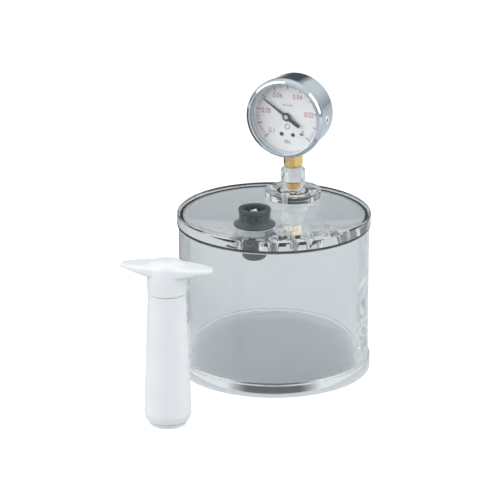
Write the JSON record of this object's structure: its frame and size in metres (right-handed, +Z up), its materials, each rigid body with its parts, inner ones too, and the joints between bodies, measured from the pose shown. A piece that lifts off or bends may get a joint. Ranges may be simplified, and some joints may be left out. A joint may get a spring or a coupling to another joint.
{
  "type": "vacuum desiccator",
  "caption": "Clear cylindrical vacuum desiccator: flat lift-off lid with check valve and dial vacuum gauge on a bolted socket, and the hand pump that fits the valve.",
  "frame": {"origin": "centre of the base plate's underside, where the chamber stands", "axes": "+Z up along the chamber's axis, -Y towards the side the gauge's dial faces, with the valve on -Y and the gauge on +Y"},
  "size_m": [0.153, 0.2423, 0.2298],
  "materials": {
    "acrylic": "clear, polished",
    "window_glass": "clear, polished",
    "black_rubber": "moulded, satin",
    "grey_plastic": "moulded, satin",
    "white_plastic": "moulded, semi-gloss",
    "ptfe": "wound tape",
    "chrome": "polished",
    "steel": "turned",
    "brass": "machined",
    "dial_white": "printed, satin",
    "black_paint": "satin"
  },
  "bodies": {
    "chamber": {"base_plate": "acrylic", "vessel_wall": "acrylic"},
    "lid": {"lid_plate": "acrylic", "lid_seal_ring": "black_rubber", "valve_body": "grey_plastic", "valve_gasket": "black_rubber", "valve_washer": "white_plastic", "valve_nut": "grey_plastic", "poppet_spring": "steel", "gauge_socket": "acrylic", "socket_seal_ring": "black_rubber", "flange_screw_1": "steel", "flange_screw_2": "steel", "flange_screw_3": "steel", "flange_screw_4": "steel", "gauge_case": "chrome", "vent_plug": "black_rubber", "gauge_bezel": "chrome", "gauge_window": "window_glass", "window_gasket": "white_plastic", "gauge_stem": "brass", "thread_tape": "ptfe", "dial": "dial_white", "dial_screw_1": "black_paint", "dial_screw_2": "black_paint", "zero_stop_pin": "black_paint", "hairspring": "brass", "bourdon_tube": "brass", "tube_tip": "brass", "movement_back_plate": "brass", "movement_front_plate": "brass", "movement_screw_1": "steel", "movement_screw_2": "steel"},
    "release_poppet": {"poppet_stem": "white_plastic", "poppet_disc": "black_rubber", "spring_clip": "steel"},
    "pointer": {"pointer": "black_paint", "pointer_cap": "chrome", "pinion_arbor": "brass"},
    "sector": {"sector_gear": "brass"},
    "link": {"link_bar": "brass"},
    "pump_cylinder": {"pump_barrel": "white_plastic", "pump_foot_ring": "white_plastic", "mouth_seal": "black_rubber", "inlet_flap": "black_rubber", "rod_guide_cap": "white_plastic"},
    "pump_plunger": {"pump_handle": "white_plastic", "piston_rod": "white_plastic", "piston_head": "white_plastic", "piston_seal": "black_rubber"}
  },
  "joints": [
    {"name": "lid_lift", "type": "slide", "parent": "chamber", "child": "lid", "axis": [0, 0, 1], "range_m": [0, 0.2]},
    {"name": "poppet_lift", "type": "slide", "parent": "lid", "child": "release_poppet", "axis": [0, 0, 1], "range_m": [0, 0.002], "stiffness_N_per_m": 150, "springref_m": -0.003, "deforming": ["poppet_spring"]},
    {"name": "sector_turn", "type": "hinge", "parent": "lid", "child": "sector", "pos_m": [0.0105, 0.0378, 0.18824], "axis": [0, 1, 0], "range_deg": [-31.8, 13.1]},
    {"name": "pointer_turn", "type": "hinge", "parent": "lid", "child": "pointer", "pos_m": [0, 0.0378, 0.1975], "axis": [0, 1, 0], "range_deg": [-79, 191]},
    {"name": "link_swing", "type": "hinge", "parent": "sector", "child": "link", "pos_m": [0.01425, 0.0378, 0.18493], "axis": [0, 1, 0], "range_deg": [-14, 32]},
    {"name": "pump_lift", "type": "slide", "parent": "chamber", "child": "pump_cylinder", "axis": [0, 0, 1], "range_m": [0, 0.25]},
    {"name": "pump_stroke", "type": "slide", "parent": "pump_cylinder", "child": "pump_plunger", "axis": [0, 0, 1], "range_m": [0, 0.07]}
  ],
  "couplings": [
    {"joint": "pointer_turn", "follows": "sector_turn", "ratio": -6},
    {"joint": "link_swing", "follows": "sector_turn", "ratio": -1}
  ]
}
